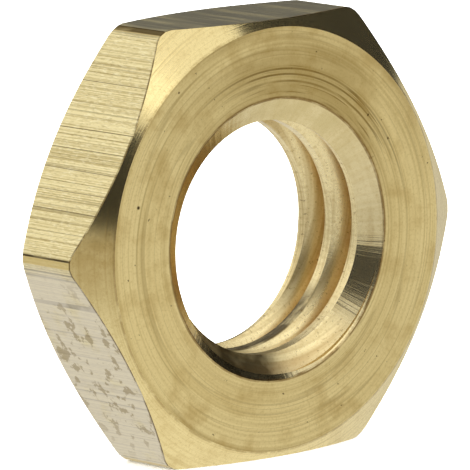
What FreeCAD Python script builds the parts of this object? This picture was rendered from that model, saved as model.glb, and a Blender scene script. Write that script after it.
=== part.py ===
import FreeCAD, Part
import os
import Sketcher

# Thin brass hexagon nut, M12 x 1.75, 19 mm across flats: one solid piece.
# Millimetres. The nut stands on one flat with its thread axis along Y.
# The front face, the one with the smaller turned ring, looks towards -Y.
# The origin is on the thread axis at half the nut's thickness.

DIMENSIONS = {
    "across_flats": 19.0,
    "thickness": 5.1,
    "corner_radius": 0.9,           # rounding of the drawn hexagon bar's long edges
    "front_face_diameter": 18.4,    # outside of the turned ring, where the corner chamfer starts
    "back_face_diameter": 18.8,
    "chamfer_angle": 33.0,          # degrees, measured from the face
    "drill_diameter": 10.2,         # tapping drill, which leaves the thread's flat crests
    "thread_diameter": 12.0,
    "thread_pitch": 1.75,
    "thread_overrun": 1.88,         # how far the tap runs past each face
    "sink_diameter": 12.25,         # mouth of the countersink on both faces
    "sink_angle": 30.0,             # degrees, measured from the face
    "crest_overlap": 0.2,           # how far the thread's cutter reaches inside the drilled hole
}


def make_sheet(doc):
    sheet = doc.addObject("Spreadsheet::Sheet", "Sizes")
    for row, (name, value) in enumerate(DIMENSIONS.items(), start=1):
        sheet.set(f"A{row}", name)
        sheet.set(f"B{row}", str(value))
        sheet.setAlias(f"B{row}", name)
    doc.recompute()


def with_sheet(formula):
    """Name the sheet in front of every dimension in a formula whose words have spaces between them."""
    return " ".join(f"Sizes.{word}" if word in DIMENSIONS else word for word in formula.split())


def make_sketch(body, role, label):
    sketch = body.newObject("Sketcher::SketchObject", label)
    plane = next(item for item in body.Origin.OriginFeatures if item.Role == role)
    sketch.AttachmentSupport = [(plane, "")]
    sketch.MapMode = "FlatFace"
    return sketch


def draw_outline(body, role, label, corners):
    """Draw a closed outline. Each corner is a pair of formulas that stay bound to the sheet."""
    sketch = make_sketch(body, role, label)
    formulas = [(with_sheet(across), with_sheet(up)) for across, up in corners]
    points = []
    for across, up in formulas:
        points.append(FreeCAD.Vector(sketch.evalExpression(across), sketch.evalExpression(up), 0))
    for start, end in zip(points, points[1:] + points[:1]):
        sketch.addGeometry(Part.LineSegment(start, end), False)
    for index, (across, up) in enumerate(formulas):
        corner = points[index]
        before = (index - 1) % len(formulas)
        sketch.addConstraint(Sketcher.Constraint("Coincident", before, 2, index, 1))
        for kind, formula, place in (("DistanceX", across, corner.x), ("DistanceY", up, corner.y)):
            number = sketch.addConstraint(Sketcher.Constraint(kind, -1, 1, index, 1, place))
            sketch.setExpression(f"Constraints[{number}]", formula)
    return sketch


def pad_hexagon_bar(body):
    tip = "across_flats / ( 2 * cos( 30 deg ) )"
    flat = "across_flats / 2"
    outline = [
        (tip, "0"),
        (f"{tip} / 2", flat),
        (f"-1 * {tip} / 2", flat),
        (f"-1 * {tip}", "0"),
        (f"-1 * {tip} / 2", f"-1 * {flat}"),
        (f"{tip} / 2", f"-1 * {flat}"),
    ]
    bar = body.newObject("PartDesign::Pad", "HexagonBar")
    bar.Profile = draw_outline(body, "XZ_Plane", "HexagonOutline", outline)
    bar.Midplane = True
    bar.setExpression("Length", "Sizes.thickness")


def round_long_edges(body, bar):
    long_edges = []
    for number, edge in enumerate(bar.Shape.Edges, start=1):
        along = edge.Vertexes[-1].Point - edge.Vertexes[0].Point
        if abs(along.y) > abs(along.x) + abs(along.z):
            long_edges.append(f"Edge{number}")
    rounding = body.newObject("PartDesign::Fillet", "CornerRounding")
    rounding.Base = (bar, long_edges)
    rounding.setExpression("Radius", "Sizes.corner_radius")


def spin_groove(body, label, outline):
    sketch = draw_outline(body, "XY_Plane", f"{label}Outline", outline)
    groove = body.newObject("PartDesign::Groove", label)
    groove.Profile = sketch
    groove.ReferenceAxis = (sketch, ["V_Axis"])
    groove.Angle = 360


def turn_chamfer(body, label, face_diameter, side):
    """Turn one end's corners off. side is -1 at the front and 1 at the back."""
    face = f"{side} * thickness / 2"
    reach = "across_flats"      # well beyond the hexagon's corners
    drop = f"( {reach} - {face_diameter} / 2 ) * tan( chamfer_angle * 1 deg )"
    outline = [
        (f"{face_diameter} / 2", face),
        (reach, face),
        (reach, f"{face} - {side} * {drop}"),
    ]
    spin_groove(body, label, outline)


def sink_hole(body, label, side):
    """Countersink one end of the drilled hole. side is -1 at the front and 1 at the back."""
    face = f"{side} * thickness / 2"
    depth = "sink_diameter / 2 * tan( sink_angle * 1 deg )"
    outline = [
        ("0", face),
        ("sink_diameter / 2", face),
        ("0", f"{face} - {side} * {depth}"),
    ]
    spin_groove(body, label, outline)


def drill_hole(body):
    circle = make_sketch(body, "XZ_Plane", "DrillCircle")
    centre = FreeCAD.Vector(0, 0, 0)
    diameter = DIMENSIONS["drill_diameter"]
    ring = circle.addGeometry(Part.Circle(centre, FreeCAD.Vector(0, 0, 1), diameter / 2), False)
    circle.addConstraint(Sketcher.Constraint("Coincident", ring, 3, -1, 1))
    size = circle.addConstraint(Sketcher.Constraint("Diameter", ring, diameter))
    circle.setExpression(f"Constraints[{size}]", "Sizes.drill_diameter")
    hole = body.newObject("PartDesign::Pocket", "DrilledHole")
    hole.Profile = circle
    hole.Type = "ThroughAll"
    hole.Midplane = True


def tap_thread(body):
    """Cut one right-hand 60 degree groove with a flat root an eighth of the pitch wide."""
    inside = "( drill_diameter / 2 - crest_overlap )"
    start = "-1 * ( thickness / 2 + thread_overrun )"
    half_root = "thread_pitch / 16"
    half_mouth = f"( {half_root} + ( thread_diameter / 2 - {inside} ) * tan( 30 deg ) )"
    outline = [
        (inside, f"{start} - {half_mouth}"),
        ("thread_diameter / 2", f"{start} - {half_root}"),
        ("thread_diameter / 2", f"{start} + {half_root}"),
        (inside, f"{start} + {half_mouth}"),
    ]
    sketch = draw_outline(body, "XY_Plane", "ThreadOutline", outline)
    thread = body.newObject("PartDesign::SubtractiveHelix", "TappedThread")
    thread.Profile = sketch
    thread.ReferenceAxis = (sketch, ["V_Axis"])
    thread.Mode = "pitch-height-angle"
    thread.setExpression("Pitch", "Sizes.thread_pitch")
    thread.setExpression("Height", "Sizes.thickness + 2 * Sizes.thread_overrun")
    thread.Angle = 0
    thread.LeftHanded = False
    thread.Reversed = False


def cut_and_compare(doc, body, make_feature, *details):
    """Add one cutting feature and make sure that it takes metal away."""
    before = body.Shape.Volume
    make_feature(body, *details)
    doc.recompute()
    taken = before - body.Shape.Volume
    if taken <= 0:
        raise RuntimeError(f"{body.Tip.Label} cuts nothing")
    print(f"{body.Tip.Label}: takes {taken:.2f} cubic mm")


def build_hex_nut(doc):
    body = doc.addObject("PartDesign::Body", "hex_nut")
    body.Label = "hex_nut"
    body.Placement = FreeCAD.Placement()
    pad_hexagon_bar(body)
    doc.recompute()
    cut_and_compare(doc, body, round_long_edges, body.Tip)
    cut_and_compare(doc, body, turn_chamfer, "FrontChamfer", "front_face_diameter", -1)
    cut_and_compare(doc, body, turn_chamfer, "BackChamfer", "back_face_diameter", 1)
    cut_and_compare(doc, body, drill_hole)
    cut_and_compare(doc, body, sink_hole, "FrontCountersink", -1)
    cut_and_compare(doc, body, sink_hole, "BackCountersink", 1)
    cut_and_compare(doc, body, tap_thread)
    return body


def check_document(doc):
    for item in doc.Objects:
        if "Invalid" in item.State or "Error" in item.State:
            raise RuntimeError(f"{item.Label} did not build: {item.State}")


def write_part(body):
    shape = body.Shape
    if shape.isNull() or not shape.isValid() or len(shape.Solids) != 1:
        raise RuntimeError(f"{body.Label} is not one valid solid")
    os.makedirs("parts", exist_ok=True)
    shape.exportStep(f"parts/{body.Label}.step")
    print(f"{body.Label}: {shape.Volume:.1f} cubic mm, {len(shape.Faces)} faces")


def main():
    doc = FreeCAD.newDocument("HexNut")
    make_sheet(doc)
    hex_nut = build_hex_nut(doc)
    doc.recompute()
    check_document(doc)
    write_part(hex_nut)


main()
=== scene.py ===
import bpy
from math import cos, pi, radians, sin, tan
from mathutils import Matrix, Vector


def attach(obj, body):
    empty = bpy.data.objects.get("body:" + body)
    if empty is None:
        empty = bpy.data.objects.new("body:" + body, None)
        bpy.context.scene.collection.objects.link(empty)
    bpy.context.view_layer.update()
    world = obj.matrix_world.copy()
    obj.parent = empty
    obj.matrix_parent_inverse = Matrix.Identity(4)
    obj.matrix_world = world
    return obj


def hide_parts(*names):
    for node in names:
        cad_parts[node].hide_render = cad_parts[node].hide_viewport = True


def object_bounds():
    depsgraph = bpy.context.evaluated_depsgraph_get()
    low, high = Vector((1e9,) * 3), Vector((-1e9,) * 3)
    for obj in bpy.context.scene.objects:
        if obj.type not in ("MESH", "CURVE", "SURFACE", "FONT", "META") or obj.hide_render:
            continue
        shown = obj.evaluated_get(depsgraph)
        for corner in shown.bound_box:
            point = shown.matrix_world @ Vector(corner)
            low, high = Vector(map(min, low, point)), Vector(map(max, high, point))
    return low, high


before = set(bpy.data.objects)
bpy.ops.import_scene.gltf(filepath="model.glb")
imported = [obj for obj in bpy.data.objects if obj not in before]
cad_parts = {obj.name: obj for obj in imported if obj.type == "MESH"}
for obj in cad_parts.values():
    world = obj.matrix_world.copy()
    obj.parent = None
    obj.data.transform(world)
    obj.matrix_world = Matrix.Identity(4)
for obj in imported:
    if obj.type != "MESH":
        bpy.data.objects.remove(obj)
cadLow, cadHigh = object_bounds()
mm = 0.001                                     # the nut is modelled in millimetres, then scaled to metres
closeBy = 0.01                                 # places nearer than this, in millimetres, count as one
squareOn = 0.99                                # a normal with this much of the axis in it faces along it

print("CAD frame loaded")


def pickOnly(piece):                           # make one object active and nothing else selected
    if bpy.context.object and bpy.context.object.mode != "OBJECT":
        bpy.ops.object.mode_set(mode="OBJECT")
    bpy.ops.object.select_all(action="DESELECT")
    piece.select_set(True)
    bpy.context.view_layer.objects.active = piece


# in edit mode, select what a rule accepts: it is given a face's centre and normal,
# an edge's two ends, or a vertex's place
def selectParts(piece, kind, rule):
    bpy.ops.mesh.select_mode(type=kind)
    bpy.ops.mesh.select_all(action="DESELECT")
    bpy.ops.object.mode_set(mode="OBJECT")
    mesh = piece.data
    places = [v.co for v in mesh.vertices]
    if kind == "FACE":
        for face in mesh.polygons:
            face.select = rule(face.center, face.normal)
    elif kind == "EDGE":
        for edge in mesh.edges:
            edge.select = rule(places[edge.vertices[0]], places[edge.vertices[1]])
    else:
        for vertex in mesh.vertices:
            vertex.select = rule(vertex.co)
    bpy.ops.object.mode_set(mode="EDIT")


def axisRadius(place):                         # distance from the thread axis, which is Y
    return (place.x ** 2 + place.z ** 2) ** 0.5


def applyModifier(piece, kind, **settings):
    pickOnly(piece)
    modifier = piece.modifiers.new(kind.title(), kind)
    for name, value in settings.items():
        setattr(modifier, name, value)
    bpy.ops.object.modifier_apply(modifier=modifier.name)


def cutOrKeep(piece, tool, operation):         # boolean with a tool that is then thrown away
    applyModifier(piece, "BOOLEAN", operation=operation, object=tool, solver="EXACT")
    bpy.data.objects.remove(tool)


nutSizes = {
    "acrossFlats": (cadHigh.z - cadLow.z) / mm,
    "thickness": (cadHigh.y - cadLow.y) / mm,
    "barSpare": 2,                             # how much longer the bar is before it is faced
    "cornerRadius": 0.9,                       # long edges of the drawn bar
    "cornerSteps": 3,
    "frontFace": 18.4,                         # diameters of the turned faces
    "backFace": 18.8,
    "chamferAngle": 33,                        # from the face
    "discShare": 0.65,                         # the turned disc's radius in widths, which clears the corners
    "drill": 10.2,
    "threadRoot": 12.0,
    "pitch": 1.75,
    "crestOverlap": 0.2,                       # the tap's cutter reaches this far inside the drilled hole
    "overrun": 1.88,                           # the tap runs this far past both faces
    "sink": 12.25,                             # mouth of both countersinks
    "sinkAngle": 30,                           # from the face
    "turnSteps": 192,
    "threadSteps": 96,                         # per turn
    "smoothAngle": 15,                         # edges flatter than this are shaded smooth
}


def makeHexBar(s):                             # a length of drawn hexagon bar along Y, standing on a flat
    tip = s["acrossFlats"] / 2 / cos(pi / 6)
    bpy.ops.mesh.primitive_cylinder_add(vertices=6, radius=tip, depth=s["thickness"] + s["barSpare"],
                                        rotation=(pi / 2, pi / 6, 0))
    bar = bpy.context.object
    bpy.ops.object.transform_apply(location=False, rotation=True, scale=False)
    bpy.ops.object.mode_set(mode="EDIT")
    selectParts(bar, "EDGE", lambda a, b: abs(a.y - b.y) > s["thickness"])
    bpy.ops.mesh.bevel(offset=s["cornerRadius"] * tan(pi / 6), offset_type="OFFSET",
                       segments=s["cornerSteps"], profile=0.5)              # rounds the long edges
    bpy.ops.object.mode_set(mode="OBJECT")
    return bar


def turnEnd(blank, side, faceDiameter, s):     # side -1 is the front, 1 the back
    outer = s["acrossFlats"] * s["discShare"]
    end = side * s["thickness"] / 2
    drop = (outer - faceDiameter / 2) * tan(radians(s["chamferAngle"]))
    isCap = lambda c, n: n.y * side > squareOn
    selectParts(blank, "FACE", isCap)
    bpy.ops.mesh.inset(thickness=outer - faceDiameter / 2)                  # flat face
    selectParts(blank, "VERT", lambda v: abs(v.y - end) < closeBy and axisRadius(v) > outer - closeBy)
    bpy.ops.transform.translate(value=(0, -side * drop, 0))                 # the corner chamfer's cone
    selectParts(blank, "FACE", isCap)
    bpy.ops.mesh.inset(thickness=(faceDiameter - s["sink"]) / 2)            # mouth of the countersink
    selectParts(blank, "FACE", lambda c, n: isCap(c, n) and axisRadius(c) < closeBy)
    wall = (s["sink"] - s["drill"]) / 2
    bpy.ops.mesh.inset(thickness=wall, depth=-wall * tan(radians(s["sinkAngle"])))


def makeTurnedBlank(s):                        # faced, chamfered, drilled and countersunk disc
    bpy.ops.mesh.primitive_cylinder_add(vertices=s["turnSteps"], radius=s["acrossFlats"] * s["discShare"],
                                        depth=s["thickness"], rotation=(pi / 2, 0, 0))
    blank = bpy.context.object
    bpy.ops.object.transform_apply(location=False, rotation=True, scale=False)
    bpy.ops.object.mode_set(mode="EDIT")
    turnEnd(blank, -1, s["frontFace"], s)
    turnEnd(blank, 1, s["backFace"], s)
    selectParts(blank, "FACE", lambda c, n: abs(n.y) > squareOn and axisRadius(c) < closeBy)
    bpy.ops.mesh.delete(type="ONLY_FACE")
    selectParts(blank, "EDGE", lambda a, b: max(axisRadius(a), axisRadius(b)) < s["drill"] / 2 + closeBy)
    bpy.ops.mesh.bridge_edge_loops()                                        # wall of the drilled hole
    bpy.ops.mesh.select_all(action="SELECT")
    bpy.ops.mesh.normals_make_consistent(inside=False)
    bpy.ops.object.mode_set(mode="OBJECT")
    return blank


def makeTap(s):                                # one right-hand turn after another of a 60 degree cutter
    inside = s["drill"] / 2 - s["crestOverlap"]
    depth = s["threadRoot"] / 2 - inside
    rootWidth = s["pitch"] / 8
    mouthWidth = rootWidth + 2 * depth * tan(pi / 6)
    start = -(s["thickness"] / 2 + s["overrun"])
    turns = (s["thickness"] + 2 * s["overrun"]) / s["pitch"]
    steps = round(turns * s["threadSteps"])
    bpy.ops.mesh.primitive_plane_add(size=1, location=(inside + depth / 2, start, 0))
    tap = bpy.context.object
    tap.scale = (depth, mouthWidth, 1)
    bpy.ops.object.transform_apply(location=True, rotation=False, scale=True)
    bpy.ops.object.mode_set(mode="EDIT")
    selectParts(tap, "VERT", lambda v: v.x > inside + depth / 2)
    bpy.ops.transform.resize(value=(1, rootWidth / mouthWidth, 1))          # narrow at the thread's root
    bpy.ops.mesh.select_all(action="SELECT")
    bpy.ops.mesh.delete(type="ONLY_FACE")
    bpy.ops.object.mode_set(mode="OBJECT")
    applyModifier(tap, "SCREW", axis="Y", angle=turns * 2 * pi, screw_offset=turns * s["pitch"],
                  steps=steps, render_steps=steps)
    pickOnly(tap)
    bpy.ops.object.mode_set(mode="EDIT")
    bpy.ops.mesh.select_all(action="DESELECT")
    bpy.ops.mesh.select_mode(type="EDGE")
    bpy.ops.mesh.select_non_manifold(extend=False)
    bpy.ops.mesh.fill()                                                     # caps on both ends
    bpy.ops.mesh.select_all(action="SELECT")
    bpy.ops.mesh.normals_make_consistent(inside=False)
    bpy.ops.object.mode_set(mode="OBJECT")
    return tap


def makeNut(s):
    bpy.ops.object.select_all(action="DESELECT")
    bar = makeHexBar(s)
    cutOrKeep(bar, makeTurnedBlank(s), "INTERSECT")
    print("bar turned to shape:", len(bar.data.polygons), "faces")
    cutOrKeep(bar, makeTap(s), "DIFFERENCE")
    print("thread tapped:", len(bar.data.polygons), "faces")
    bar.name = bar.data.name = "hexNut"
    return bar


def linearColour(hexText):                     # sRGB hex to linear, with alpha 1
    parts = [int(hexText[i:i + 2], 16) / 255 for i in (0, 2, 4)]
    return tuple(p / 12.92 if p <= 0.04045 else ((p + 0.055) / 1.055) ** 2.4 for p in parts) + (1.0,)


def addNode(tree, kind, links, **settings):    # a node with its settings, and a value or a link for its sockets
    node = tree.nodes.new(kind)
    for name, value in settings.items():
        setattr(node, name, value)
    for socket, source in links.items():
        if isinstance(source, bpy.types.NodeSocket):
            tree.links.new(source, node.inputs[socket])
        else:
            node.inputs[socket].default_value = source
    return node


def findPlaces(tree, s):                       # where a point of the nut is, in millimetres
    source = addNode(tree, "ShaderNodeTexCoord", {})
    straight = addNode(tree, "ShaderNodeMapping", {
        "Vector": source.outputs["Object"], "Scale": (1 / mm,) * 3}).outputs[0]
    parts = addNode(tree, "ShaderNodeSeparateXYZ", {0: straight})
    flat = addNode(tree, "ShaderNodeVectorMath", {0: straight, 1: (1, 0, 1)}, operation="MULTIPLY").outputs[0]
    radius = addNode(tree, "ShaderNodeVectorMath", {0: flat}, operation="LENGTH").outputs["Value"]

    # across the rings first, then round the axis as a direction that has no seam
    way = addNode(tree, "ShaderNodeVectorMath", {0: flat}, operation="NORMALIZE").outputs[0]
    wayParts = addNode(tree, "ShaderNodeSeparateXYZ", {0: way})
    across = addNode(tree, "ShaderNodeMath", {0: radius, 1: parts.outputs["Y"]}, operation="ADD").outputs[0]
    ring = addNode(tree, "ShaderNodeCombineXYZ", {
        0: across, 1: wayParts.outputs["X"], 2: wayParts.outputs["Z"]}).outputs[0]

    # sideways from the nearest of the six corners
    angle = addNode(tree, "ShaderNodeMath", {
        0: parts.outputs["Z"], 1: parts.outputs["X"]}, operation="ARCTAN2").outputs[0]
    shifted = addNode(tree, "ShaderNodeMath", {0: angle, 1: pi / 6}, operation="ADD").outputs[0]
    sixth = addNode(tree, "ShaderNodeMath", {0: shifted, 1: pi / 3}, operation="FLOORED_MODULO").outputs[0]
    turned = addNode(tree, "ShaderNodeMath", {0: sixth, 1: pi / 6}, operation="SUBTRACT").outputs[0]
    fromCorner = addNode(tree, "ShaderNodeMath", {0: turned, 1: radius}, operation="MULTIPLY").outputs[0]

    # along the axis from the front chamfer's cone, more than 0 outside it
    fromMiddle = addNode(tree, "ShaderNodeMath", {0: parts.outputs["Y"]}, operation="ABSOLUTE").outputs[0]
    slope = tan(radians(s["chamferAngle"]))
    high = addNode(tree, "ShaderNodeMath", {
        0: radius, 1: slope, 2: -slope * s["frontFace"] / 2 - s["thickness"] / 2},
        operation="MULTIPLY_ADD").outputs[0]
    fromEdge = addNode(tree, "ShaderNodeMath", {0: high, 1: fromMiddle}, operation="ADD").outputs[0]
    return {"straight": straight, "ring": ring, "radius": radius, "alongAxis": parts.outputs["Y"],
            "fromCorner": fromCorner, "fromEdge": fromEdge}


def addMarks(tree, place, look, marks):        # lays one kind of mark over the look so far
    run = addNode(tree, "ShaderNodeMapping", {
        "Vector": place[marks["run"]], "Scale": marks["perMm"], "Location": marks.get("shift", (0, 0, 0))})
    noise = addNode(tree, "ShaderNodeTexNoise", {
        "Vector": run.outputs[0], "Scale": 1.0, "Detail": marks["detail"], "Roughness": 0.6}).outputs[0]
    if marks.get("hairlines"):                 # a hairline runs where the noise crosses its middle
        above = addNode(tree, "ShaderNodeMath", {0: noise, 1: 0.5}, operation="SUBTRACT")
        noise = addNode(tree, "ShaderNodeMath", {0: above.outputs[0]}, operation="ABSOLUTE").outputs[0]
    amount = addNode(tree, "ShaderNodeMapRange", {
        "Value": noise, "From Min": marks["none"], "From Max": marks["full"],
        "To Min": 0.0, "To Max": marks["strength"]}).outputs[0]
    if "near" in marks:                        # only round one place
        away = addNode(tree, "ShaderNodeVectorMath", {0: place["straight"], 1: marks["near"]},
                       operation="DISTANCE").outputs["Value"]
        fade = addNode(tree, "ShaderNodeMapRange", {
            "Value": away, "From Min": marks["reach"][0], "From Max": marks["reach"][1],
            "To Min": 1.0, "To Max": 0.0}).outputs[0]
        amount = addNode(tree, "ShaderNodeMath", {0: amount, 1: fade}, operation="MULTIPLY").outputs[0]
    for measure in ("radius", "alongAxis", "fromCorner", "fromEdge"):
        if measure in marks:                   # only between two values of this measure, with soft ends
            low, high, soft = marks[measure]
            start = addNode(tree, "ShaderNodeMapRange", {
                "Value": place[measure], "From Min": low - soft, "From Max": low}).outputs[0]
            stop = addNode(tree, "ShaderNodeMapRange", {
                "Value": place[measure], "From Min": high, "From Max": high + soft,
                "To Min": 1.0, "To Max": 0.0}).outputs[0]
            band = addNode(tree, "ShaderNodeMath", {0: start, 1: stop}, operation="MULTIPLY").outputs[0]
            amount = addNode(tree, "ShaderNodeMath", {0: amount, 1: band}, operation="MULTIPLY").outputs[0]
    look["colour"] = addNode(tree, "ShaderNodeMix", {
        0: amount, 6: look["colour"], 7: linearColour(marks["colour"])}, data_type="RGBA").outputs[2]
    look["roughness"] = addNode(tree, "ShaderNodeMath", {
        0: amount, 1: marks["rougher"], 2: look["roughness"]}, operation="MULTIPLY_ADD").outputs[0]
    look["height"] = addNode(tree, "ShaderNodeMath", {
        0: amount, 1: -marks["depth"] * mm, 2: look["height"]}, operation="MULTIPLY_ADD").outputs[0]


def makeBrass(nut, name, finish):              # bare brass with its layers of marks, in the nut's next slot
    material = bpy.data.materials.new(name)
    material.use_nodes = True
    tree = material.node_tree
    shader = tree.nodes["Principled BSDF"]
    shader.inputs["Metallic"].default_value = 1.0
    shader.inputs["Anisotropic"].default_value = finish["grain"]
    place = findPlaces(tree, nutSizes)
    look = {"colour": linearColour(finish["metal"]), "roughness": finish["roughness"], "height": 0.0}
    for marks in finish["marks"].values():
        addMarks(tree, place, look, marks)
    bump = addNode(tree, "ShaderNodeBump", {"Height": look["height"], "Distance": 1.0, "Strength": 1.0})
    tree.links.new(look["colour"], shader.inputs["Base Color"])
    tree.links.new(look["roughness"], shader.inputs["Roughness"])
    tree.links.new(bump.outputs[0], shader.inputs["Normal"])
    if finish["grain"]:
        lay = addNode(tree, "ShaderNodeTangent", {}, direction_type="RADIAL", axis="Y")
        tree.links.new(lay.outputs[0], shader.inputs["Tangent"])
    nut.data.materials.append(material)
    print("finish made:", name)


# flats of cold drawn bar: the die leaves fine straight lines along it, so they look silky;
# the layers of marks are laid one on another in this order
drawnBrass = {
    "metal": "E8D9A4",                         # bare, between the marks
    "roughness": 0.38,
    "grain": 0.0,                              # how far fine turning stretches its gleam, 0 to 1
    "marks": {
        # slow shading in bands 0.4 mm wide
        "softLines": {
            "run": "straight",                 # along X, Y and Z; "ring" is across the rings and round them
            "perMm": (2.4, 0.01, 2.4),         # marks to a millimetre each way; round the rings, to a radius
            "detail": 2,                       # how ragged they are
            "none": 0.48,                      # value of the pattern where a mark starts
            "full": 0.8,                       # and where it is full
            "strength": 0.15,                  # how far it takes the metal to its colour
            "colour": "BFA561",
            "rougher": 0.05,                   # added to the roughness
            "depth": 0.0001,                   # mm
        },
        # die lines 0.07 mm apart; the real ones, about 0.02 mm, are too fine to show and drawn coarser
        "fineLines": {
            "run": "straight", "perMm": (14.0, 0.01, 14.0), "detail": 1, "none": 0.44, "full": 0.66,
            "strength": 0.6, "colour": "A08A4C", "rougher": 0.05, "depth": 0.0004,
        },
        # bright dashes 0.07 mm wide and 0.4 mm long where the metal smeared
        "dashes": {
            "run": "straight", "perMm": (14.0, 2.4, 14.0), "detail": 2, "none": 0.5, "full": 0.75,
            "strength": 0.55, "colour": "FFF6CE", "rougher": 0.08, "depth": 0.0004,
        },
        # dark dashes between them, a little shorter; the shift keeps them off the bright ones
        "darkDashes": {
            "run": "straight", "perMm": (14.0, 3.0, 14.0), "shift": (7.0, 1.0, 2.0), "detail": 2, "none": 0.52,
            "full": 0.8, "strength": 0.5, "colour": "8F7A45", "rougher": 0.08, "depth": 0.0004,
        },
        # thin scratches, about one every 0.3 mm
        "thinLines": {
            "run": "straight", "perMm": (3.6, 0.012, 3.6), "shift": (1.3, 0, 8.1), "detail": 0,
            "hairlines": True, "none": 0.035, "full": 0.008, "strength": 0.4, "colour": "6E5A2C",
            "rougher": 0.05, "depth": 0.0004,
        },
        # deep scratches, about one every 1.5 mm
        "deepLines": {
            "run": "straight", "perMm": (0.62, 0.003, 0.62), "shift": (3.1, 0, 5.7), "detail": 0,
            "hairlines": True, "none": 0.007, "full": 0.0025, "strength": 0.7, "colour": "4A3A1A",
            "rougher": 0.1, "depth": 0.0005,
        },
        # dried film that pales the lower left flat, thinner in patches 1.5 mm across
        "paleFilm": {
            "run": "straight", "perMm": (0.7, 0.7, 0.7), "detail": 3, "none": 0.15, "full": 0.45,
            "strength": 0.72, "near": (-9.9, 0, -6.3),
            "reach": (5.6, 6.5),               # mm; full as near as the first and gone at the second
            "colour": "E4DBC8", "rougher": 0.1, "depth": 0.0,
        },
        # spots 0.2 to 0.7 mm across where that film has come off
        "stains": {
            "run": "straight", "perMm": (1.5, 1.5, 1.5), "shift": (4.0, 1.0, 2.0), "detail": 5, "none": 0.56,
            "full": 0.6, "strength": 0.6, "near": (-8.1, -0.8, -5.0), "reach": (3.0, 5.4), "colour": "9C8960",
            "rougher": 0.1, "depth": 0.0006,
        },
        # grey painted on the top flat as a dark reflection, broken into streaks 0.3 mm wide like its rough
        # lines
        "topStreaksAndDarkReflection": {
            "run": "straight", "perMm": (3.0, 0.15, 3.0), "shift": (0, 0.0, 3.0), "detail": 4, "none": 0.1,
            "full": 0.5, "strength": 0.85, "near": (0, 0, 9.5), "reach": (4.9, 5.8), "colour": "5C5A52",
            "rougher": 0.05, "depth": 0.0006,
        },
        # painted reflection: the rounded corner drawn as a plain gold band 0.3 mm wide
        "paintedCornerReflection": {
            "run": "straight", "perMm": (3.0, 0.4, 3.0), "detail": 3, "none": 0.1, "full": 0.5,
            "strength": 0.7,
            "fromCorner": (-0.16, 0.16, 0.02),  # mm; between the first two, with ends as soft as the third
            "colour": "DCC27A", "rougher": 0.05, "depth": 0.0,
        },
        # dark line 0.07 mm wide beside that band, on the two left corners
        "cornerLine": {
            "run": "straight", "perMm": (0.8, 0.3, 0.8), "detail": 2, "none": 0.25, "full": 0.5,
            "strength": 0.95, "near": (-8.2, 0, 4.8), "reach": (6.5, 7.5), "fromCorner": (-0.215, -0.15, 0.02),
            "colour": "3A2A0E", "rougher": 0.1, "depth": 0.0,
        },
        # dark band over the upper left corner
        "topCornerLine": {
            "run": "straight", "perMm": (3.0, 0.4, 3.0), "detail": 3, "none": 0.1, "full": 0.5,
            "strength": 0.9, "near": (-5.5, 0, 9.4), "reach": (2.6, 3.6), "fromCorner": (-0.2, 0.1, 0.06),
            "colour": "4A3A16", "rougher": 0.1, "depth": 0.0,
        },
        # burr and dirt 0.07 mm wide where a flat meets the front chamfer
        "chamferLine": {
            "run": "straight", "perMm": (1.6, 1.6, 1.6), "detail": 3, "none": 0.25, "full": 0.55,
            "strength": 0.85, "fromEdge": (-0.07, 0.2, 0.05), "alongAxis": (-3.0, 0.0, 0.1),
            "colour": "6A5224", "rougher": 0.1, "depth": 0.0,
        },
    },
}

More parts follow.
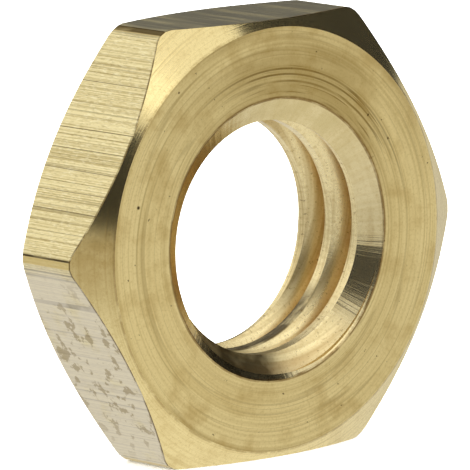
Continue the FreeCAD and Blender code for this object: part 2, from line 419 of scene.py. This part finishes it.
# turned faces: the lathe tool leaves rings round the axis, dulled by handling,
# so a soft gleam spreads across them
facedBrass = {
    "metal": "F3DD9C",
    "roughness": 0.3,
    "grain": 0.45,
    "marks": {
        # tool rings 0.12 mm apart; the real feed, about 0.05 mm, is too fine to show and drawn coarser
        "rings": {
            "run": "ring", "perMm": (8.0, 0.6, 0.6), "detail": 1, "none": 0.42, "full": 0.7, "strength": 0.3,
            "colour": "A88C48", "rougher": 0.05, "depth": 0.0003,
        },
        # broad bands 0.8 mm wide
        "wideRings": {
            "run": "ring", "perMm": (1.3, 0.9, 0.9), "detail": 3, "none": 0.45, "full": 0.7, "strength": 0.2,
            "colour": "C2A55C", "rougher": 0.05, "depth": 0.0003,
        },
        # three scored rings above the hole, 0.05 mm wide
        "deepRing": {
            "run": "ring", "perMm": (2.0, 2.5, 2.5), "detail": 2, "none": 0.2, "full": 0.5, "strength": 0.85,
            "near": (2.6, -2.55, 6.9), "reach": (3.2, 7.5), "radius": (7.36, 7.41, 0.03), "colour": "463412",
            "rougher": 0.1, "depth": 0.004,
        },
        "secondRing": {
            "run": "ring", "perMm": (2.0, 2.5, 2.5), "shift": (5, 0, 0), "detail": 2, "none": 0.25,
            "full": 0.5, "strength": 0.8, "near": (2.4, -2.55, 6.7), "reach": (2.8, 6.0),
            "radius": (7.12, 7.17, 0.03), "colour": "463412", "rougher": 0.1, "depth": 0.004,
        },
        "thirdRing": {
            "run": "ring", "perMm": (2.0, 2.5, 2.5), "shift": (9, 0, 0), "detail": 2, "none": 0.3, "full": 0.5,
            "strength": 0.75, "near": (0.8, -2.55, 6.8), "reach": (2.2, 4.5), "radius": (6.83, 6.88, 0.04),
            "colour": "5F4B20", "rougher": 0.1, "depth": 0.003,
        },
        # short arcs 0.1 mm wide scored round them
        "brokenRings": {
            "run": "ring", "perMm": (9.0, 2.2, 2.2), "shift": (3, 0, 0), "detail": 2, "none": 0.56,
            "full": 0.68, "strength": 0.8, "near": (2.6, -2.55, 6.4), "reach": (3.2, 6.0),
            "radius": (6.3, 7.6, 0.2), "colour": "5A441A", "rougher": 0.1, "depth": 0.002,
        },
        # faint hairline rings, about one every 0.5 mm
        "lightRings": {
            "run": "ring", "perMm": (2.2, 0.4, 0.4), "shift": (2.7, 0, 0), "detail": 1, "hairlines": True,
            "none": 0.03, "full": 0.008, "strength": 0.25, "colour": "7E6630", "rougher": 0.05,
            "depth": 0.0004,
        },
        # dull specks 0.1 mm across
        "speckle": {
            "run": "straight", "perMm": (9.0, 9.0, 9.0), "detail": 2, "none": 0.5, "full": 0.8,
            "strength": 0.4, "colour": "B0944E", "rougher": 0.1, "depth": 0.0004,
        },
        # brown tarnish in patches 1.5 mm across
        "tarnish": {
            "run": "straight", "perMm": (0.7, 0.7, 0.7), "detail": 5, "none": 0.5, "full": 0.7,
            "strength": 0.45, "colour": "AE8C42", "rougher": 0.05, "depth": 0.0,
        },
        # heavier tarnish over the top of the face
        "topTarnish": {
            "run": "ring", "perMm": (0.9, 1.2, 1.2), "detail": 3, "none": 0.2, "full": 0.6, "strength": 0.6,
            "near": (2.5, -2.55, 7.5), "reach": (4.5, 9.5), "colour": "9C8040", "rougher": 0.05, "depth": 0.0,
        },
        # brown edge 0.15 mm wide round the mouth of the countersink
        "mouthStain": {
            "run": "straight", "perMm": (0.9, 0.9, 0.9), "detail": 3, "none": 0.2, "full": 0.5,
            "strength": 0.8, "radius": (6.0, 6.17, 0.06), "colour": "7A5A26", "rougher": 0.1, "depth": 0.001,
        },
        # pits 0.1 mm across
        "pits": {
            "run": "straight", "perMm": (3.2, 3.2, 3.2), "detail": 2, "none": 0.72, "full": 0.76,
            "strength": 0.85, "colour": "5A4620", "rougher": 0.2, "depth": 0.006,
        },
        # one dark pit, 0.15 mm across
        "oneDeepPit": {
            "run": "straight", "perMm": (1.0, 1.0, 1.0), "detail": 1, "none": 0.0, "full": 0.1,
            "strength": 0.95, "near": (-7.84, -2.55, 2.29), "reach": (0.05, 0.1), "colour": "3E2E12",
            "rougher": 0.2, "depth": 0.01,
        },
    },
}

# corner chamfers: a wide form tool left them smoother, so they mirror the room
turnedBrass = {
    "metal": "F2DEA0",
    "roughness": 0.12,
    "grain": 0.3,
    "marks": {
        # tool rings 0.17 mm apart, drawn coarser than real ones of 0.05 mm so that they show
        "rings": {
            "run": "ring", "perMm": (6.0, 0.6, 0.6), "detail": 2, "none": 0.48, "full": 0.75, "strength": 0.35,
            "colour": "B89C58", "rougher": 0.04, "depth": 0.005,
        },
        # drag marks 0.2 mm wide and 0.8 mm long
        "toolDrag": {
            "run": "straight", "perMm": (5.5, 1.2, 5.5), "detail": 4, "none": 0.56, "full": 0.8,
            "strength": 0.3, "colour": "B0934F", "rougher": 0.08, "depth": 0.003,
        },
        # dull specks 0.1 mm across
        "speckle": {
            "run": "straight", "perMm": (9.0, 9.0, 9.0), "detail": 2, "none": 0.5, "full": 0.8,
            "strength": 0.35, "colour": "B89A55", "rougher": 0.08, "depth": 0.0003,
        },
        # brown tarnish in patches 1.7 mm across
        "tarnish": {
            "run": "straight", "perMm": (0.6, 0.6, 0.6), "detail": 4, "none": 0.52, "full": 0.8,
            "strength": 0.35, "colour": "AD8B45", "rougher": 0.1, "depth": 0.0,
        },
        # more of it at the left corner
        "leftTarnish": {
            "run": "straight", "perMm": (0.9, 0.9, 0.9), "detail": 4, "none": 0.1, "full": 0.6,
            "strength": 0.6, "near": (-9.7, -2.3, 0.4), "reach": (0.6, 3.2), "colour": "B08D40",
            "rougher": 0.08, "depth": 0.0,
        },
        # dirt 0.3 mm wide along the inner edge of the chamfer
        "edgeStain": {
            "run": "straight", "perMm": (1.2, 1.2, 1.2), "detail": 3, "none": 0.35, "full": 0.55,
            "strength": 0.5, "radius": (9.0, 9.26, 0.05), "colour": "8F7236", "rougher": 0.1, "depth": 0.001,
        },
    },
}

# countersinks: bright, with small waves down the cone where the cutter chattered
sunkBrass = {
    "metal": "EBDAA8",
    "roughness": 0.13,
    "grain": 0.0,
    "marks": {
        # chatter lines 0.17 mm apart down the cone, 34 to a radius
        "chatter": {
            "run": "ring", "perMm": (0.5, 34.0, 34.0), "detail": 2, "none": 0.42, "full": 0.75,
            "strength": 0.2, "colour": "B59651", "rougher": 0.04, "depth": 0.012,
        },
        # slower waves 0.5 mm apart
        "waves": {
            "run": "ring", "perMm": (0.3, 11.0, 11.0), "detail": 1, "none": 0.4, "full": 0.7, "strength": 0.12,
            "colour": "C9AC66", "rougher": 0.04, "depth": 0.02,
        },
        # cutter rings 0.2 mm apart
        "rings": {
            "run": "ring", "perMm": (5.0, 1.5, 1.5), "detail": 2, "none": 0.5, "full": 0.7, "strength": 0.3,
            "colour": "A88A48", "rougher": 0.05, "depth": 0.0006,
        },
        # dull specks 0.12 mm across
        "speckle": {
            "run": "straight", "perMm": (8.0, 8.0, 8.0), "detail": 2, "none": 0.5, "full": 0.8,
            "strength": 0.4, "colour": "C2A566", "rougher": 0.08, "depth": 0.0004,
        },
        # painted shade: the top of the countersink darker and a little duller
        "paintedTopShade": {
            "run": "straight", "perMm": (1.2, 1.2, 1.2), "detail": 3, "none": 0.1, "full": 0.6,
            "strength": 0.7, "near": (0.5, -2.2, 5.7), "reach": (3.0, 6.5), "colour": "C9B67E",
            "rougher": 0.05, "depth": 0.0,
        },
        # darker at the bottom of the countersink
        "darkMouthBottom": {
            "run": "ring", "perMm": (1.5, 2.5, 2.5), "detail": 3, "none": 0.2, "full": 0.5, "strength": 0.75,
            "near": (-1.9, -2.1, -5.4), "reach": (1.9, 3.0), "colour": "44351A", "rougher": 0.05, "depth": 0.0,
        },
        # brown edge 0.1 mm wide at the mouth
        "mouthStain": {
            "run": "straight", "perMm": (1.1, 1.1, 1.1), "detail": 3, "none": 0.3, "full": 0.55,
            "strength": 0.8, "radius": (6.08, 6.2, 0.04), "colour": "7A5A26", "rougher": 0.1, "depth": 0.0,
        },
    },
}

# thread: slightly torn by the tap, its roots painted brown as shade
tappedBrass = {
    "metal": "F4E2AC",
    "roughness": 0.27,
    "grain": 0.0,
    "marks": {
        # lines 0.11 mm apart that the tap drew along its groove
        "tapRings": {
            "run": "ring", "perMm": (9.0, 0.7, 0.7), "detail": 2, "none": 0.42, "full": 0.7, "strength": 0.55,
            "colour": "A0803F", "rougher": 0.05, "depth": 0.0008,
        },
        # the crest is beaded by a burr every 0.17 mm
        "beads": {
            "run": "ring", "perMm": (1.5, 30.0, 30.0), "detail": 1, "none": 0.45, "full": 0.75,
            "strength": 0.3, "radius": (5.0, 5.2, 0.06), "colour": "A98C4C", "rougher": 0.05, "depth": 0.0015,
        },
        # dull specks 0.1 mm across
        "speckle": {
            "run": "straight", "perMm": (9.0, 9.0, 9.0), "detail": 3, "none": 0.5, "full": 0.75,
            "strength": 0.4, "colour": "B6985A", "rougher": 0.08, "depth": 0.0004,
        },
        # painted shade: brown in the roots, where the grooves hold shade tinted by light bounced off the brass
        "paintedRootShade": {
            "run": "straight", "perMm": (0.8, 0.8, 0.8), "detail": 3, "none": 0.2, "full": 0.6,
            "strength": 0.5, "radius": (5.75, 6.2, 0.3), "alongAxis": (-1.9, 1.5, 0.4), "colour": "B8823A",
            "rougher": 0.1, "depth": 0.0,
        },
        # dark patch on the lower part of the middle crest
        "darkCrestPatch": {
            "run": "ring", "perMm": (1.5, 3.0, 3.0), "detail": 3, "none": 0.25, "full": 0.5, "strength": 0.85,
            "near": (1.9, 0.2, -4.7), "reach": (2.0, 3.4), "radius": (5.0, 5.14, 0.05),
            "alongAxis": (-0.2, 0.7, 0.1), "colour": "3A2C14", "rougher": 0.1, "depth": 0.0,
        },
        # darker at the bottom of the front mouth
        "darkMouthBottom": {
            "run": "ring", "perMm": (1.5, 2.5, 2.5), "detail": 3, "none": 0.2, "full": 0.5, "strength": 0.85,
            "near": (-1.9, -2.0, -5.3), "reach": (1.7, 2.9), "colour": "44351A", "rougher": 0.05, "depth": 0.0,
        },
        # torn spots 0.12 mm wide and 0.3 mm long
        "tears": {
            "run": "straight", "perMm": (8.0, 3.0, 8.0), "detail": 3, "none": 0.62, "full": 0.72,
            "strength": 0.6, "colour": "6B4C22", "rougher": 0.1, "depth": 0.002,
        },
    },
}


finishes = {"drawnBrass": drawnBrass, "facedBrass": facedBrass, "turnedBrass": turnedBrass,
            "sunkBrass": sunkBrass, "tappedBrass": tappedBrass}

placing = {                                    # what tells the faces of the nut apart
    "outside": 8,                              # mm from the axis; nearer than this is the hole
    "flatTilt": 0.1,                           # the normal of a flat has less of the axis in it than this
    "faceTilt": 0.98,                          # that of a turned face more than this
    "sinkTilt": 0.6,                           # and that of a countersink more than this
    "sinkSlack": 0.03,                         # mm off the cone where a face still belongs to it
    "mouthDepth": 0.55,                        # mm; what the tap left of the cone lies this near the end
    "mouthRadius": 5.3,                        # and outside this radius
}


def finishFor(s, p, c, n):                     # which finish a face has, from its centre and normal
    r = axisRadius(c)
    tilt = abs(n.y)
    if r > p["outside"] and tilt < p["flatTilt"]:
        return "drawnBrass"
    if tilt > p["faceTilt"]:
        return "facedBrass"
    if r > p["outside"]:
        return "turnedBrass"
    cone = s["thickness"] / 2 - (s["sink"] / 2 - r) * tan(radians(s["sinkAngle"]))
    onSink = abs(cone - abs(c.y)) < p["sinkSlack"]
    nearMouth = abs(c.y) > s["thickness"] / 2 - p["mouthDepth"] and r > p["mouthRadius"]
    return "sunkBrass" if (onSink or nearMouth) and tilt > p["sinkTilt"] else "tappedBrass"


def dressNut(nut, s, p):
    pickOnly(nut)
    for name, finish in finishes.items():
        makeBrass(nut, name, finish)
    bpy.ops.object.mode_set(mode="EDIT")
    for slot, name in enumerate(finishes):
        selectParts(nut, "FACE", lambda c, n: finishFor(s, p, c, n) == name)
        nut.active_material_index = slot
        bpy.ops.object.material_slot_assign()
    bpy.ops.object.mode_set(mode="OBJECT")
    bpy.ops.transform.resize(value=(mm, mm, mm), center_override=(0, 0, 0))
    bpy.ops.object.transform_apply(location=True, rotation=True, scale=True)
    bpy.ops.object.shade_smooth_by_angle(angle=radians(s["smoothAngle"]))
    applyModifier(nut, "WEIGHTED_NORMAL", mode="FACE_AREA", weight=50, keep_sharp=True)


nut = makeNut(nutSizes)
dressNut(nut, nutSizes, placing)
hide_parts("hex_nut")
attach(nut, "root")


def outwards(azimuth, elevation):              # direction from the nut, with azimuth 0 at the front
    a, e = radians(azimuth), radians(elevation)
    return Vector((sin(a) * cos(e), -cos(a) * cos(e), sin(e)))


def aim(piece, azimuth, elevation, distance):  # put a lamp or card round the nut, facing it
    away = outwards(azimuth, elevation)
    piece.location = away * distance
    piece.rotation_mode = "QUATERNION"
    piece.rotation_quaternion = away.to_track_quat("Z", "Y")


def lengthOf(angle, distance):                 # length that is seen under this angle from the nut
    return 2 * distance * tan(radians(angle / 2))


def plainMaterial(name, colour, roughness):
    material = bpy.data.materials.new(name)
    material.use_nodes = True
    shader = material.node_tree.nodes["Principled BSDF"]
    shader.inputs["Base Color"].default_value = linearColour(colour)
    shader.inputs["Roughness"].default_value = roughness
    return material


paperFloor = {                                 # matt white paper, lit so evenly that hardly a shadow shows
    "colour": "F6F6F4",
    "roughness": 0.9,
    "size": 8,                                 # metres
}


def makeFloor(f):
    bpy.ops.object.select_all(action="DESELECT")
    bpy.ops.mesh.primitive_plane_add(size=f["size"], location=(0, 0, cadLow.z))
    floor = bpy.context.object
    floor.name = "floor"
    floor.data.materials.append(plainMaterial("whitePaper", f["colour"], f["roughness"]))
    floor.visible_glossy = False


# matt black cards that only the brass sees: its chamfers, countersinks and thread mirror them as dark patches;
# where they stand and how large they look from the nut are in degrees, their distance in metres
cardDistance = 0.28
darkCards = {
    "cameraCard": {"azimuth": -33, "elevation": 15, "width": 45, "height": 30, "colour": "050505"},
    "rightCard": {"azimuth": 72, "elevation": 30, "width": 46, "height": 48, "colour": "050505"},
    "backCard": {"azimuth": 146, "elevation": 12, "width": 68, "height": 46, "colour": "0A0A0A"},
}


def makeCard(name, c, distance):
    bpy.ops.mesh.primitive_plane_add(size=1)
    card = bpy.context.object
    card.name = name
    card.scale = (lengthOf(c["width"], distance), lengthOf(c["height"], distance), 1)
    aim(card, c["azimuth"], c["elevation"], distance)
    card.visible_camera = card.visible_diffuse = card.visible_shadow = False
    card.data.materials.append(plainMaterial(name, c["colour"], 1.0))


boxDistance = 0.3
softboxes = {                                  # in the same measures; power is the brightness of the box's face
    "topBox": {"azimuth": 10, "elevation": 62, "width": 90, "height": 40, "power": 0.1},
    "frontBox": {"azimuth": 6, "elevation": 35, "width": 26, "height": 12, "power": 0.45},
    "backBox": {"azimuth": -148, "elevation": 30, "width": 50, "height": 40, "power": 0.15},
}


def makeSoftbox(name, b, distance):
    light = bpy.data.lights.new(name, "AREA")
    light.shape = "RECTANGLE"
    light.size = lengthOf(b["width"], distance)
    light.size_y = lengthOf(b["height"], distance)
    light.energy = b["power"] * light.size * light.size_y * pi
    lamp = bpy.data.objects.new(name, light)
    bpy.context.collection.objects.link(lamp)
    lamp.visible_camera = False
    aim(lamp, b["azimuth"], b["elevation"], distance)


makeFloor(paperFloor)
for name, card in darkCards.items():
    makeCard(name, card, cardDistance)
for name, box in softboxes.items():
    makeSoftbox(name, box, boxDistance)
print("studio set:", len(darkCards), "dark cards and", len(softboxes), "softboxes")

studio = {
    "paperLight": 3.2,                         # brightness of the room as the white paper sees it
    "above": 0.88,                             # brightness that the brass mirrors from above, level and below
    "level": 0.66,
    "below": 0.93,
    "upTo": (0.1, 0.5),                        # it changes between these heights, with 1 straight up
    "downTo": (-0.2, -0.8),                    # and -1 straight down
}


def makeWorld(s):                              # the brass mirrors a room that is dimmer at its own height
    world = bpy.data.worlds.new("studio")
    bpy.context.scene.world = world
    world.use_nodes = True
    tree = world.node_tree
    room = tree.nodes["Background"]
    room.inputs["Color"].default_value = linearColour("FFFFFF")
    room.inputs["Strength"].default_value = s["paperLight"]
    way = addNode(tree, "ShaderNodeTexCoord", {})
    height = addNode(tree, "ShaderNodeSeparateXYZ", {0: way.outputs["Generated"]}).outputs["Z"]
    up = addNode(tree, "ShaderNodeMapRange", {
        "Value": height, "From Min": s["upTo"][0], "From Max": s["upTo"][1],
        "To Min": s["level"], "To Max": s["above"]}).outputs[0]
    down = addNode(tree, "ShaderNodeMapRange", {
        "Value": height, "From Min": s["downTo"][0], "From Max": s["downTo"][1],
        "To Min": 0.0, "To Max": s["below"] - s["level"]}).outputs[0]
    bright = addNode(tree, "ShaderNodeMath", {0: up, 1: down}, operation="ADD").outputs[0]
    mirrored = addNode(tree, "ShaderNodeBackground", {"Color": linearColour("FFFFFF"), "Strength": bright})
    path = addNode(tree, "ShaderNodeLightPath", {})
    both = addNode(tree, "ShaderNodeMixShader", {
        0: path.outputs["Is Glossy Ray"], 1: room.outputs[0], 2: mirrored.outputs[0]})
    tree.links.new(both.outputs[0], tree.nodes["World Output"].inputs["Surface"])


makeWorld(studio)

view = {
    "azimuth": -40.87,
    "elevation": 9.2,
    "roll": -1.0,
    "distance": 0.3896,                        # metres from the nut's centre
    "lens": 691.3,
    "clip": (0.01, 50),
    "aimRight": 0.00019,                       # metres that the nut's centre stands right of the view's centre
    "aimUp": 0.000087,                         # and above it
}


def makeCamera(v):
    back = outwards(v["azimuth"], v["elevation"])
    a, r = radians(v["azimuth"]), radians(v["roll"])
    right = Vector((cos(a), sin(a), 0))
    up = back.cross(right)
    tiltedRight = right * cos(r) + up * sin(r)
    tiltedUp = up * cos(r) - right * sin(r)
    cameraData = bpy.data.cameras.new("camera")
    cameraData.lens = v["lens"]
    cameraData.clip_start, cameraData.clip_end = v["clip"]
    camera = bpy.data.objects.new("camera", cameraData)
    bpy.context.collection.objects.link(camera)
    turn = Matrix((tiltedRight, tiltedUp, back)).transposed()
    place = back * v["distance"] - tiltedRight * v["aimRight"] - tiltedUp * v["aimUp"]
    camera.matrix_world = Matrix.Translation(place) @ turn.to_4x4()
    bpy.context.scene.camera = camera


makeCamera(view)
bpy.context.scene.view_settings.view_transform = "Standard"
print("world and camera made")
